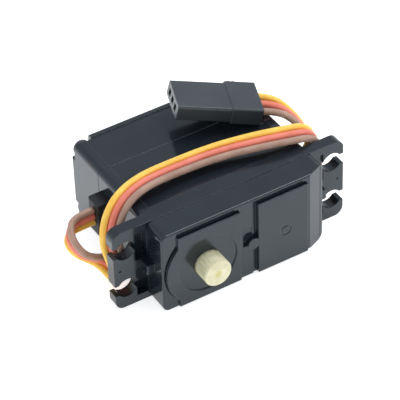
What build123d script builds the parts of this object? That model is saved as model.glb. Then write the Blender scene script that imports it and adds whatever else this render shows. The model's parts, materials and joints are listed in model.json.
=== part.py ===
"""Hobby servo motor, standard size, with a three-wire lead and its plug.

Frame, in millimetres: +X runs along the case, away from the output end; the
output shaft points along -Y; +Z is up, and the servo lies on its side at Z = 0.
Depths are counted backwards, along +Y, from the plain front face of the case.
"""
from build123d import *
from math import acos, asin, cos, degrees, pi, radians, sin, sqrt, tan
import os

os.makedirs("parts", exist_ok=True)

# ---------------------------------------------------------------- driving sizes
CASE_LENGTH = 39.6
CASE_WIDTH = 20.0
CASE_DEPTH = 36.4
PLATE_RISE = 0.55
SHAFT_RISE = 4.5
WALL = 1.3
CORNER_RADIUS = 1.4
CAVITY_RADIUS = 0.5
EDGE_RADIUS = 0.35

HALF = CASE_LENGTH / 2
MID_Z = CASE_WIDTH / 2
FRONT_Y = -15.7

# Depths of the splits between the three shells, and of the floors inside them
TOP_SPLIT = 5.8
BOTTOM_SPLIT = 25.0
TOP_CEILING = 1.5
DECK_FRONT = 9.0
DECK_BACK = 10.4
BOTTOM_FLOOR = 35.0

# Mounting lugs
LUG_SPAN = 55.2
LUG_THICK = 2.6
LUG_CORNER = 2.0
HOLE_SPACING_X = 49.5
HOLE_SPACING_Z = 10.0
HOLE_RADIUS = 2.3
HOLE_MOUTH = 2.6
LUG_POCKET_WIDTH = 2.8
OUTPUT_POCKET_DEPTH = 1.9
MOTOR_POCKET_DEPTH = 0.5
LUG_POCKET_MARGIN = 1.8
RIB_WIDTH = 2.3
RIB_RISE = 1.7
RIB_FRONT = 3.0

# Case screws
SCREW_X = 17.7
SCREW_Z = 7.9
SCREW_RADIUS = 1.0
SCREW_CLEARANCE = 1.08
SCREW_TIP = 2.5
HEAD_RADIUS = 1.8
HEAD_HEIGHT = 1.3
POST_RADIUS = 2.0
CORNER_POCKET = 4.2
POCKET_DEPTH = 1.5

# Output axis; the other gear axes are at half the case's width
OUTPUT_X = -9.3
OUTPUT_Z = 8.8
RUNNING_FIT = 0.04

# Output shaft
SPLINE_TEETH = 25
SPLINE_RADIUS = 3.1
SPLINE_DEPTH = 0.09
TIP_RADIUS = 0.6
SHAFT_RADIUS = 2.96
HUB_RADIUS = 2.3
HORN_SCREW_RADIUS = 0.9
HORN_SCREW_DEPTH = 6.0
SENSOR_SHAFT_RADIUS = 1.4
SENSOR_FLAT = 0.95

# Gear teeth: (small gear, wheel, module) of each of the four stages
PINION_TEETH, WHEEL_1_TEETH, MODULE_1 = 9, 46, 0.3
SMALL_1_TEETH, WHEEL_2_TEETH, MODULE_2 = 10, 40, 0.33
SMALL_2_TEETH, WHEEL_3_TEETH, MODULE_3 = 10, 34, 0.375
SMALL_3_TEETH, OUTPUT_TEETH, MODULE_4 = 11, 28, 0.5
PRESSURE_ANGLE = radians(20)
SMALL_ADDENDUM = 0.9
WHEEL_ADDENDUM = 0.55
ROOT_CLEARANCE = 0.25
BACKLASH = 0.16
PIN_RADIUS = 0.75
MOTOR_SHAFT_RADIUS = 0.75

# Gear axes from the centre distances: the output pair leans, the other three are level
OUTPUT_CENTERS = (SMALL_3_TEETH + OUTPUT_TEETH) * MODULE_4 / 2
MOTOR_CENTERS = (PINION_TEETH + WHEEL_1_TEETH) * MODULE_1 / 2
CENTER_X = OUTPUT_X + sqrt(OUTPUT_CENTERS**2 - (MID_Z - OUTPUT_Z) ** 2)
MOTOR_X = CENTER_X + MOTOR_CENTERS
OUTPUT_LEAN = degrees(asin((MID_Z - OUTPUT_Z) / OUTPUT_CENTERS))

# Motor
CAN_RADIUS = 9.8
CAN_FLATS = 15.4
CAN_WALL = 0.8
CAN_BACK = 28.4
END_CAP_BACK = 30.4
MAGNET_INNER = 6.6
CORE_RADIUS = 6.2
CORE_FRONT = 14.5
CORE_BACK = 24.0

# Circuit board
BOARD_FRONT = 32.2
BOARD_THICK = 1.0
BOARD_HALF_X = 18.1
BOARD_HALF_Z = 8.3

# Lead and plug
WIRE_DIAMETER = 1.5
PLUG_LENGTH = 18.4
PLUG_WIDTH = 9.9
PLUG_THICK = 4.0
PLUG_PITCH = 2.54
GROMMET_FRONT = 20.4
GROMMET_BACK = 24.4
GROMMET_BOTTOM = 6.8
GROMMET_TOP = 15.0
GROMMET_RISE = 3.0
GROMMET_ROUNDING = 0.4


# --------------------------------------------------------------------- helpers
def facing(depth):
    """Plane at a depth behind the front face; it faces the front, with X and Z as its axes."""
    return Plane.XZ.offset(-(FRONT_Y + depth))


def save(name, builder):
    """Label a finished piece and write its STEP file."""
    builder.part.label = name
    export_step(builder.part, f"parts/{name}.step")
    print(f"{name:22s} {len(builder.part.solids())} solids {builder.part.volume:10.2f} mm3")


def slab(front, back, profile, mode=Mode.ADD):
    """Extrude the sketch that profile() draws between two depths."""
    with BuildSketch(facing(back)) as sketch:
        profile()
    extrude(sketch.sketch, amount=back - front, mode=mode)


def disc(x, z, front, back, radius, mode=Mode.ADD):
    """Round slab between two depths."""
    with BuildSketch(facing(back)) as sketch:
        with Locations((x, z)):
            Circle(radius)
    extrude(sketch.sketch, amount=back - front, mode=mode)


def block(x0, x1, z0, z1, front, back, mode=Mode.ADD):
    """Rectangular slab from its limits in X and Z and its two depths."""
    with BuildSketch(facing(back)) as sketch:
        with Locations(((x0 + x1) / 2, (z0 + z1) / 2)):
            Rectangle(x1 - x0, z1 - z0)
    extrude(sketch.sketch, amount=back - front, mode=mode)


def case_outline(inset=0.0):
    """The case's rounded rectangle, drawn smaller by inset."""
    with Locations((0, MID_Z)):
        RectangleRounded(CASE_LENGTH - 2 * inset, CASE_WIDTH - 2 * inset, CORNER_RADIUS - inset)


def cavity_outline():
    with Locations((0, MID_Z)):
        RectangleRounded(CASE_LENGTH - 2 * WALL, CASE_WIDTH - 2 * WALL, CAVITY_RADIUS)


def corners():
    """Centres of the four case screws."""
    return [(sx * SCREW_X, MID_Z + sz * SCREW_Z) for sx in (-1, 1) for sz in (-1, 1)]


def posts(front, back):
    """Screw posts, one in each corner, kept inside the case's outline."""
    with BuildSketch(facing(back)) as sketch:
        with Locations(*corners()):
            Circle(POST_RADIUS)
        with Locations((0, MID_Z)):
            RectangleRounded(
                CASE_LENGTH - WALL, CASE_WIDTH - WALL, CORNER_RADIUS - WALL / 2, mode=Mode.INTERSECT
            )
    extrude(sketch.sketch, amount=back - front)


# ----------------------------------------------------------------------- gears
def involute(angle):
    return tan(angle) - angle


def gear_points(teeth, module, addendum, dedendum, first_tooth):
    """Outline of a spur gear's teeth about its own centre, one tooth pointing at first_tooth degrees."""
    pitch = teeth * module / 2
    base = pitch * cos(PRESSURE_ANGLE)
    root = pitch - dedendum * module
    tip = pitch + addendum * module
    half_pitch = (pi / 2 - BACKLASH) / teeth + involute(PRESSURE_ANGLE)
    flank_start = max(base, root)
    radii = [flank_start + (tip - flank_start) * step / 3 for step in range(4)]
    flank = [(radius, half_pitch - involute(acos(min(1.0, base / radius)))) for radius in radii]
    if root < base:
        flank.insert(0, (root, flank[0][1]))
    points = []
    for tooth in range(teeth):
        middle = radians(first_tooth) + 2 * pi * tooth / teeth
        rising = [(radius, middle - half) for radius, half in flank]
        falling = [(radius, middle + half) for radius, half in reversed(flank)]
        points += [(radius * cos(angle), radius * sin(angle)) for radius, angle in rising + falling]
    return points


def gear(x, z, front, back, teeth, module, addendum, mate, first_tooth):
    """Toothed slab centred on a gear axis; mate is the addendum of the gear it meets."""
    points = gear_points(teeth, module, addendum, mate + ROOT_CLEARANCE, first_tooth)
    with BuildSketch(facing(back)) as sketch:
        with BuildLine():
            Polyline(*[(x + px, z + pz) for px, pz in points], close=True)
        make_face()
    extrude(sketch.sketch, amount=back - front)


def small_gear(x, front, back, teeth, module, first_tooth):
    gear(x, MID_Z, front, back, teeth, module, SMALL_ADDENDUM, WHEEL_ADDENDUM, first_tooth)


def wheel(x, front, back, teeth, module, toward, z=MID_Z):
    """Large gear with a gap, not a tooth, pointing at toward degrees."""
    gear(x, z, front, back, teeth, module, WHEEL_ADDENDUM, SMALL_ADDENDUM, toward + 180 / teeth)


# -------------------------------------------------------------------- top case
LEFT_PLATE_EDGE = -16.2
LEFT_PLATE_END = -1.5
RIGHT_PLATE_EDGE = 2.7
RIGHT_PLATE_END = 14.8
PLATE_BOTTOM = 0.2
PLATE_TOP = 18.4
PLATE_ARC = 9.7
PLATE_EDGE_RADIUS = 0.15
CRESCENT_RADIUS = 10.1
CRESCENT_LIFT = 0.5
CRESCENT_LEDGE = 0.06
GROOVE_STEP = 0.6
GROOVE_DEPTH = 0.5
GROOVE_SLANT = 0.75
SLOT_BESIDE = 1.1
BEVEL_LENGTH = 4.3
BEVEL_DEPTH = 1.9
RECESS_RADIUS = 6.75
RECESS_DEPTH = 0.3
RECESS_ROUNDING = 0.15
SHAFT_HOLE_RADIUS = 3.2
BUSHING_RADIUS = 4.2
BUSHING_WALL = 1.2
BUSHING_FRONT = 0.3
BUSHING_BACK = 2.1
PIN_BOSS_RADIUS = 1.9
PIN_BOSS_BACK = 1.9
CENTER_PIN_FRONT = 1.0
UPPER_PIN_FRONT = 0.6
UPPER_PIN_BACK = 7.35
UPPER_BOSS_BACK = 4.2
BEVEL_CEILING = 3.2
SEAM = 0.15


def polygon(*points):
    Polygon(*points, align=None)


def left_plate():
    """Plate around the output shaft: a rectangle with a round bulge towards the near end."""
    plate_middle = (PLATE_BOTTOM + PLATE_TOP) / 2
    plate_height = PLATE_TOP - PLATE_BOTTOM
    with Locations(((LEFT_PLATE_EDGE + LEFT_PLATE_END) / 2, plate_middle)):
        Rectangle(LEFT_PLATE_END - LEFT_PLATE_EDGE, plate_height)
    with Locations((OUTPUT_X, OUTPUT_Z)):
        Circle(PLATE_ARC)
    with Locations(((LEFT_PLATE_END - HALF) / 2, plate_middle)):
        Rectangle(LEFT_PLATE_END + HALF, plate_height, mode=Mode.INTERSECT)


def right_plate():
    with Locations(((RIGHT_PLATE_EDGE + RIGHT_PLATE_END) / 2, (PLATE_BOTTOM + PLATE_TOP) / 2)):
        Rectangle(RIGHT_PLATE_END - RIGHT_PLATE_EDGE, PLATE_TOP - PLATE_BOTTOM)


def crescent():
    """Groove that follows the plate's bulge and runs out towards the bottom."""
    with Locations((OUTPUT_X, OUTPUT_Z + CRESCENT_LIFT)):
        Circle(CRESCENT_RADIUS)
    with Locations((OUTPUT_X, OUTPUT_Z)):
        Circle(PLATE_ARC + CRESCENT_LEDGE, mode=Mode.SUBTRACT)
    crescent_top = PLATE_TOP + GROOVE_STEP
    with Locations(((LEFT_PLATE_EDGE - HALF) / 2, crescent_top / 2)):
        Rectangle(LEFT_PLATE_EDGE + HALF, crescent_top, mode=Mode.INTERSECT)


def groove_above(start, end, rise):
    """Groove along a plate's top edge, with a slanting far end."""
    top = PLATE_TOP + rise
    polygon((start, PLATE_TOP), (end, PLATE_TOP), (end - GROOVE_SLANT * rise, top), (start, top))


def bevel_wedge():
    """Sloping cut across the front edge at the motor's end, seen along Z."""
    front = FRONT_Y - PLATE_RISE - 1
    slope = BEVEL_DEPTH / BEVEL_LENGTH
    start = HALF - BEVEL_LENGTH
    with BuildSketch(Plane.XY) as sketch:
        polygon(
            (start, front),
            (start, FRONT_Y),
            (HALF + 1, FRONT_Y + slope * (BEVEL_LENGTH + 1)),
            (HALF + 1, front),
        )
    extrude(sketch.sketch, amount=CASE_WIDTH, mode=Mode.SUBTRACT)


def end_ribs(front, back):
    """Upright rib in the middle of each end wall, joining it to the lug."""
    for side in (-1, 1):
        inner, outer = sorted((side * (HALF - WALL), side * (HALF + RIB_RISE)))
        block(inner, outer, MID_Z - RIB_WIDTH / 2, MID_Z + RIB_WIDTH / 2, front, back)


GATE_X = 9.3
GATE_Z = 8.7
GATE_RADIUS = 1.3
GATE_LINE = 0.4
GATE_DEPTH = 0.12
LATCH_X = 1.6
LATCH_Z = 8.6
LATCH_RADIUS = 1.35
LATCH_POCKET = (-0.7, 1.7, 8.3, 12.8)
LATCH_POCKET_DEPTH = 0.65

with BuildPart() as top_case:
    slab(0, TOP_SPLIT - SEAM, case_outline)
    fillet(top_case.faces().sort_by(Axis.Y)[0].outer_wire().edges(), EDGE_RADIUS)
    slab(TOP_SPLIT - SEAM, TOP_SPLIT, lambda: case_outline(SEAM))
    with BuildSketch(facing(0)) as plates:
        left_plate()
    extrude(plates.sketch, amount=PLATE_RISE)
    with BuildSketch(facing(0)) as motor_plate:
        right_plate()
    extrude(motor_plate.sketch, amount=PLATE_RISE)
    plate_fronts = top_case.faces().filter_by(Axis.Y).group_by(Axis.Y)[0]
    fillet([edge for front in plate_fronts for edge in front.outer_wire().edges()], PLATE_EDGE_RADIUS)
    bevel_wedge()
    end_ribs(RIB_FRONT, TOP_SPLIT)
    slab(TOP_CEILING, TOP_SPLIT, cavity_outline, Mode.SUBTRACT)
    block(HALF - BEVEL_LENGTH, HALF - WALL / 2, WALL / 2, CASE_WIDTH - WALL / 2, TOP_CEILING, BEVEL_CEILING)
    posts(TOP_CEILING, TOP_SPLIT)
    disc(CENTER_X, MID_Z, TOP_CEILING, PIN_BOSS_BACK, PIN_BOSS_RADIUS)
    disc(MOTOR_X, MID_Z, TOP_CEILING, UPPER_BOSS_BACK, PIN_BOSS_RADIUS)
    disc(OUTPUT_X, OUTPUT_Z, TOP_CEILING, BUSHING_BACK, BUSHING_RADIUS + BUSHING_WALL)
    # grooves beside the plates
    slab(0, GROOVE_DEPTH, crescent, Mode.SUBTRACT)
    for start, end in ((LEFT_PLATE_EDGE, LEFT_PLATE_END), (RIGHT_PLATE_EDGE - SLOT_BESIDE, RIGHT_PLATE_END)):
        slab(0, GROOVE_DEPTH, lambda: groove_above(start, end, GROOVE_STEP), Mode.SUBTRACT)
        slab(0, GROOVE_DEPTH / 2, lambda: groove_above(start, end - 0.5, 2 * GROOVE_STEP), Mode.SUBTRACT)
    block(RIGHT_PLATE_EDGE - SLOT_BESIDE, RIGHT_PLATE_EDGE, -1, PLATE_TOP, 0, GROOVE_DEPTH, Mode.SUBTRACT)
    block(*LATCH_POCKET, 0, LATCH_POCKET_DEPTH, Mode.SUBTRACT)
    disc(LATCH_X, LATCH_Z, -PLATE_RISE, LATCH_POCKET_DEPTH, LATCH_RADIUS)
    with BuildSketch(facing(-PLATE_RISE)) as gate_mark:
        with Locations((GATE_X, GATE_Z)):
            Circle(GATE_RADIUS)
            Circle(GATE_RADIUS - GATE_LINE, mode=Mode.SUBTRACT)
    extrude(gate_mark.sketch, amount=-GATE_DEPTH, mode=Mode.SUBTRACT)
    # shaft opening, its recess and the seat of the bushing
    disc(OUTPUT_X, OUTPUT_Z, -PLATE_RISE, -PLATE_RISE + RECESS_DEPTH, RECESS_RADIUS, Mode.SUBTRACT)
    circles = top_case.edges().filter_by(GeomType.CIRCLE).group_by(Axis.Y)[0]
    fillet([edge for edge in circles if abs(edge.radius - RECESS_RADIUS) < 0.01], RECESS_ROUNDING)
    disc(OUTPUT_X, OUTPUT_Z, -PLATE_RISE, BUSHING_BACK, SHAFT_HOLE_RADIUS, Mode.SUBTRACT)
    disc(OUTPUT_X, OUTPUT_Z, BUSHING_FRONT, BUSHING_BACK, BUSHING_RADIUS, Mode.SUBTRACT)
    disc(CENTER_X, MID_Z, CENTER_PIN_FRONT, PIN_BOSS_BACK, PIN_RADIUS, Mode.SUBTRACT)
    disc(MOTOR_X, MID_Z, UPPER_PIN_FRONT, UPPER_BOSS_BACK, PIN_RADIUS, Mode.SUBTRACT)
    for x, z in corners():
        disc(x, z, SCREW_TIP, TOP_SPLIT, SCREW_RADIUS, Mode.SUBTRACT)
save("top_case", top_case)


# ----------------------------------------------------------------- middle case
MOTOR_BOSS_RADIUS = 3.0
SENSOR_RADIUS = 6.0
SENSOR_BACK = 20.0
GROMMET_NECK_INSET = 0.6
LUG_BACK = TOP_SPLIT + LUG_THICK
PANEL_HALF = 17.0
PANEL_DEPTH = 0.25
PANEL_FRONT = 9.5
PANEL_BACK = 35.0


def lug_outline():
    """Both lugs as one long rounded rectangle; the case is joined over its middle."""
    with Locations((0, MID_Z)):
        RectangleRounded(LUG_SPAN, CASE_WIDTH, LUG_CORNER)


def lug_cuts(side):
    """Screw holes of one lug, each with its mouth open to the lug's end."""
    hole_x = side * HOLE_SPACING_X / 2
    end_x = side * (LUG_SPAN / 2 + 1)
    for z in (MID_Z - HOLE_SPACING_Z / 2, MID_Z + HOLE_SPACING_Z / 2):
        disc(hole_x, z, TOP_SPLIT, LUG_BACK, HOLE_RADIUS, Mode.SUBTRACT)
        x0, x1 = sorted((hole_x, end_x))
        block(x0, x1, z - HOLE_MOUTH / 2, z + HOLE_MOUTH / 2, TOP_SPLIT, LUG_BACK, Mode.SUBTRACT)
    disc(side * (LUG_SPAN / 2 - 1.4), MID_Z, TOP_SPLIT, TOP_SPLIT + 0.6, 0.25, Mode.SUBTRACT)


def lug_pockets(side, depth):
    """Hollows beside the end wall, one each side of the rib."""
    x0, x1 = sorted((side * HALF, side * (HALF + LUG_POCKET_WIDTH)))
    for z0, z1 in (
        (LUG_POCKET_MARGIN, MID_Z - RIB_WIDTH / 2),
        (MID_Z + RIB_WIDTH / 2, CASE_WIDTH - LUG_POCKET_MARGIN),
    ):
        block(x0, x1, z0, z1, TOP_SPLIT, TOP_SPLIT + depth, Mode.SUBTRACT)


def label_panel(front, back):
    """Shallow recess on each broad side of the case."""
    for z in (0.0, CASE_WIDTH):
        block(-PANEL_HALF, PANEL_HALF, z - PANEL_DEPTH, z + PANEL_DEPTH, front, back, Mode.SUBTRACT)


with BuildPart() as middle_case:
    slab(TOP_SPLIT, BOTTOM_SPLIT - SEAM, case_outline)
    slab(BOTTOM_SPLIT - SEAM, BOTTOM_SPLIT, lambda: case_outline(SEAM))
    slab(TOP_SPLIT, LUG_BACK, lug_outline)
    slab(TOP_SPLIT, DECK_FRONT, cavity_outline, Mode.SUBTRACT)
    slab(DECK_BACK, BOTTOM_SPLIT, cavity_outline, Mode.SUBTRACT)
    posts(TOP_SPLIT, BOTTOM_SPLIT)
    for side, pocket_depth in ((-1, OUTPUT_POCKET_DEPTH), (1, MOTOR_POCKET_DEPTH)):
        lug_cuts(side)
        lug_pockets(side, pocket_depth)
    for x, z in corners():
        disc(x, z, TOP_SPLIT, BOTTOM_SPLIT, SCREW_CLEARANCE, Mode.SUBTRACT)
    disc(OUTPUT_X, OUTPUT_Z, DECK_FRONT, DECK_BACK, HUB_RADIUS + RUNNING_FIT, Mode.SUBTRACT)
    disc(CENTER_X, MID_Z, DECK_FRONT, DECK_BACK - 0.2, PIN_RADIUS, Mode.SUBTRACT)
    disc(MOTOR_X, MID_Z, DECK_FRONT, DECK_BACK, MOTOR_BOSS_RADIUS + RUNNING_FIT, Mode.SUBTRACT)
    label_panel(PANEL_FRONT, BOTTOM_SPLIT)
    block(
        -HALF - 1,
        -HALF + WALL + 1,
        GROMMET_BOTTOM + GROMMET_NECK_INSET,
        GROMMET_TOP - GROMMET_NECK_INSET,
        GROMMET_FRONT + GROMMET_NECK_INSET,
        BOTTOM_SPLIT,
        Mode.SUBTRACT,
    )
save("middle_case", middle_case)


# ---------------------------------------------------------------- bottom cover
POCKET_WALL = 1.1
SEAT_SIZE = 4.8
SEAT_X = HALF - WALL / 2 - SEAT_SIZE / 2
SEAT_Z = MID_Z - WALL / 2 - SEAT_SIZE / 2
BACK_EDGE_RADIUS = 0.6

with BuildPart() as bottom_cover:
    slab(BOTTOM_SPLIT, CASE_DEPTH, case_outline)
    fillet(bottom_cover.faces().sort_by(Axis.Y)[-1].outer_wire().edges(), BACK_EDGE_RADIUS)
    slab(BOTTOM_SPLIT, BOTTOM_FLOOR, cavity_outline, Mode.SUBTRACT)
    posts(BOTTOM_SPLIT, BOTTOM_FLOOR)
    with BuildSketch(facing(BOTTOM_FLOOR)) as seats:
        with Locations(*[(sx * SEAT_X, MID_Z + sz * SEAT_Z) for sx in (-1, 1) for sz in (-1, 1)]):
            Rectangle(SEAT_SIZE, SEAT_SIZE)
    extrude(seats.sketch, amount=BOTTOM_FLOOR - CASE_DEPTH + POCKET_DEPTH + POCKET_WALL)
    for sx in (-1, 1):
        for sz in (-1, 1):
            x0, x1 = sorted((sx * (HALF - CORNER_POCKET), sx * (HALF + 1)))
            z0, z1 = sorted((MID_Z + sz * (MID_Z - CORNER_POCKET), MID_Z + sz * (MID_Z + 1)))
            block(x0, x1, z0, z1, CASE_DEPTH - POCKET_DEPTH, CASE_DEPTH, Mode.SUBTRACT)
    for x, z in corners():
        disc(x, z, BOTTOM_SPLIT, CASE_DEPTH, SCREW_CLEARANCE, Mode.SUBTRACT)
    label_panel(BOTTOM_SPLIT, PANEL_BACK)
save("bottom_cover", bottom_cover)


# ----------------------------------------------------------------- case screws
SLOT_WIDTH = 0.55
SLOT_LENGTH = 2.3
SLOT_DEPTH = 0.8
HEAD_ROUNDING = 0.45
HEAD_FRONT = CASE_DEPTH - POCKET_DEPTH

with BuildPart() as case_screws:
    for x, z in corners():
        disc(x, z, SCREW_TIP, HEAD_FRONT, SCREW_RADIUS)
        disc(x, z, HEAD_FRONT, HEAD_FRONT + HEAD_HEIGHT, HEAD_RADIUS)
    rims = case_screws.edges().filter_by(GeomType.CIRCLE).group_by(Axis.Y)[-1]
    fillet(rims, HEAD_ROUNDING)
    for x, z in corners():
        back = HEAD_FRONT + HEAD_HEIGHT
        for half_x, half_z in ((SLOT_LENGTH / 2, SLOT_WIDTH / 2), (SLOT_WIDTH / 2, SLOT_LENGTH / 2)):
            block(x - half_x, x + half_x, z - half_z, z + half_z, back - SLOT_DEPTH, back, Mode.SUBTRACT)
save("case_screws", case_screws)


# --------------------------------------------------------------- output gear
SPLINE_BACK = -0.4
OUTPUT_GEAR_FRONT = 2.2
OUTPUT_GEAR_BACK = 4.4
HUB_STEP_BACK = 6.0
SOCKET_FRONT = 5.4


def spline_points():
    """Outline of the serrated shaft end: a ring of small V-shaped teeth with flat tips."""
    points = []
    pitch = 2 * pi / SPLINE_TEETH
    for tooth in range(SPLINE_TEETH):
        start = pitch * tooth
        for share, radius in (
            (0.0, SPLINE_RADIUS - SPLINE_DEPTH),
            (0.15, SPLINE_RADIUS - SPLINE_DEPTH),
            (0.42, SPLINE_RADIUS),
            (0.73, SPLINE_RADIUS),
        ):
            angle = start + share * pitch
            points.append((OUTPUT_X + radius * cos(angle), OUTPUT_Z + radius * sin(angle)))
    return points


def flatted_shaft(x, z, radius, flat):
    """Round shaft section with one flat on its upper side."""
    with Locations((x, z)):
        Circle(radius)
    with Locations((x, z + flat + radius)):
        Rectangle(4 * radius, 2 * radius, mode=Mode.SUBTRACT)


with BuildPart() as output_gear:
    slab(-SHAFT_RISE, SPLINE_BACK, lambda: polygon(*spline_points()))
    with BuildPart(mode=Mode.INTERSECT) as rounded_tip:
        disc(OUTPUT_X, OUTPUT_Z, -SHAFT_RISE, SPLINE_BACK, SPLINE_RADIUS + RUNNING_FIT)
        fillet(rounded_tip.edges().group_by(Axis.Y)[0], TIP_RADIUS)
    disc(OUTPUT_X, OUTPUT_Z, SPLINE_BACK, OUTPUT_GEAR_FRONT, SHAFT_RADIUS)
    wheel(OUTPUT_X, OUTPUT_GEAR_FRONT, OUTPUT_GEAR_BACK, OUTPUT_TEETH, MODULE_4, OUTPUT_LEAN, OUTPUT_Z)
    disc(OUTPUT_X, OUTPUT_Z, OUTPUT_GEAR_BACK, DECK_BACK, HUB_RADIUS)
    disc(OUTPUT_X, OUTPUT_Z, -SHAFT_RISE, HORN_SCREW_DEPTH - SHAFT_RISE, HORN_SCREW_RADIUS, Mode.SUBTRACT)
    slab(
        SOCKET_FRONT,
        DECK_BACK,
        lambda: flatted_shaft(OUTPUT_X, OUTPUT_Z, SENSOR_SHAFT_RADIUS, SENSOR_FLAT),
        Mode.SUBTRACT,
    )
save("output_gear", output_gear)

with BuildPart() as output_bushing:
    disc(OUTPUT_X, OUTPUT_Z, BUSHING_FRONT, BUSHING_BACK, BUSHING_RADIUS)
    disc(OUTPUT_X, OUTPUT_Z, BUSHING_FRONT, BUSHING_BACK, SHAFT_RADIUS + RUNNING_FIT, Mode.SUBTRACT)
save("output_bushing", output_bushing)


# ---------------------------------------------------------- reduction gears
LEFTWARD = 180
RIGHTWARD = 0
GEAR_BORE = PIN_RADIUS + RUNNING_FIT

with BuildPart() as gear_3:
    small_gear(CENTER_X, 2.0, 4.6, SMALL_3_TEETH, MODULE_4, LEFTWARD + OUTPUT_LEAN)
    wheel(CENTER_X, 4.6, 5.9, WHEEL_3_TEETH, MODULE_3, RIGHTWARD)
    disc(CENTER_X, MID_Z, 2.0, 5.9, GEAR_BORE, Mode.SUBTRACT)
save("gear_3", gear_3)

with BuildPart() as gear_2:
    small_gear(MOTOR_X, 4.4, 6.2, SMALL_2_TEETH, MODULE_3, LEFTWARD)
    wheel(MOTOR_X, 6.2, 7.3, WHEEL_2_TEETH, MODULE_2, LEFTWARD)
    disc(MOTOR_X, MID_Z, 4.4, 7.3, GEAR_BORE, Mode.SUBTRACT)
save("gear_2", gear_2)

with BuildPart() as gear_1:
    small_gear(CENTER_X, 6.0, 7.6, SMALL_1_TEETH, MODULE_2, RIGHTWARD)
    wheel(CENTER_X, 7.6, 8.8, WHEEL_1_TEETH, MODULE_1, RIGHTWARD)
    disc(CENTER_X, MID_Z, 6.0, 8.8, GEAR_BORE, Mode.SUBTRACT)
save("gear_1", gear_1)

with BuildPart() as center_pin:
    disc(CENTER_X, MID_Z, CENTER_PIN_FRONT, DECK_BACK - 0.2, PIN_RADIUS)
save("center_pin", center_pin)

with BuildPart() as upper_pin:
    disc(MOTOR_X, MID_Z, UPPER_PIN_FRONT, UPPER_PIN_BACK, PIN_RADIUS)
save("upper_pin", upper_pin)


# ----------------------------------------------------------------------- motor
PINION_FRONT = 7.6
PINION_BACK = 8.9
BOSS_FRONT = 9.3
BEARING_RADIUS = 2.0
MAGNET_SPAN = 76
POLE_SPAN = 100
POLE_THICK = 1.2
ARM_WIDTH = 2.4
CORE_HUB = 2.2
COIL_WIDTH = 4.6
COIL_INNER = 2.5
COIL_OUTER = 4.2
COIL_OVERHANG = 1.0
COMMUTATOR_FRONT = 25.6
COMMUTATOR_BACK = 28.0
COMMUTATOR_RADIUS = 1.9
SHAFT_BACK = 31.2
MOTOR_TERMINAL_X = 5.5


def can_section(radius, flats):
    """Round can section with two flats."""
    with Locations((MOTOR_X, MID_Z)):
        Circle(radius)
        Rectangle(3 * radius, flats, mode=Mode.INTERSECT)


def ring_sector(inner, outer, middle, span):
    """Part of a ring about the motor's axis; middle and span in degrees."""
    reach = 3 * outer
    edges = [radians(middle - span / 2), radians(middle), radians(middle + span / 2)]
    with Locations((MOTOR_X, MID_Z)):
        Circle(outer)
        Circle(inner, mode=Mode.SUBTRACT)
    with BuildSketch(facing(0), mode=Mode.PRIVATE) as wedge:
        polygon(
            (MOTOR_X, MID_Z),
            *[(MOTOR_X + reach * cos(angle), MID_Z + reach * sin(angle)) for angle in edges],
        )
    add(wedge.sketch, mode=Mode.INTERSECT)


with BuildPart() as motor_can:
    slab(DECK_BACK, CAN_BACK, lambda: can_section(CAN_RADIUS, CAN_FLATS))
    slab(
        DECK_BACK + CAN_WALL,
        CAN_BACK,
        lambda: can_section(CAN_RADIUS - CAN_WALL, CAN_FLATS - 2 * CAN_WALL),
        Mode.SUBTRACT,
    )
    disc(MOTOR_X, MID_Z, BOSS_FRONT, DECK_BACK + CAN_WALL, MOTOR_BOSS_RADIUS)
    disc(MOTOR_X, MID_Z, BOSS_FRONT, DECK_BACK + CAN_WALL, BEARING_RADIUS, Mode.SUBTRACT)
save("motor_can", motor_can)

with BuildPart() as motor_front_bearing:
    disc(MOTOR_X, MID_Z, BOSS_FRONT, DECK_BACK + CAN_WALL, BEARING_RADIUS)
    disc(MOTOR_X, MID_Z, BOSS_FRONT, DECK_BACK + CAN_WALL, MOTOR_SHAFT_RADIUS + RUNNING_FIT, Mode.SUBTRACT)
save("motor_front_bearing", motor_front_bearing)

with BuildPart() as motor_end_cap:
    slab(CAN_BACK, END_CAP_BACK, lambda: can_section(CAN_RADIUS, CAN_FLATS))
    disc(MOTOR_X, MID_Z, END_CAP_BACK, SHAFT_BACK - 0.3, BEARING_RADIUS + 0.6)
    disc(MOTOR_X, MID_Z, CAN_BACK, SHAFT_BACK, MOTOR_SHAFT_RADIUS + RUNNING_FIT, Mode.SUBTRACT)
    for side in (-1, 1):
        x = MOTOR_X + side * MOTOR_TERMINAL_X
        block(x - 0.25, x + 0.25, MID_Z - 1.0, MID_Z + 1.0, CAN_BACK, END_CAP_BACK, Mode.SUBTRACT)
save("motor_end_cap", motor_end_cap)

with BuildPart() as motor_magnets:
    for middle in (LEFTWARD, RIGHTWARD):
        slab(
            CORE_FRONT - 1.5,
            CORE_BACK + 1.0,
            lambda: ring_sector(MAGNET_INNER, CAN_RADIUS - CAN_WALL - 0.02, middle, MAGNET_SPAN),
        )
save("motor_magnets", motor_magnets)

POLE_ANGLES = (90, 210, 330)


def around_motor(points, degrees_turned):
    """Points given beside the motor's axis, turned about it."""
    turn = radians(degrees_turned)
    return [(MOTOR_X + x * cos(turn) - z * sin(turn), MID_Z + x * sin(turn) + z * cos(turn)) for x, z in points]


def bar(start, end, width):
    """Corners of a bar that lies along +X from start to end."""
    return [(start, -width / 2), (end, -width / 2), (end, width / 2), (start, width / 2)]


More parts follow.
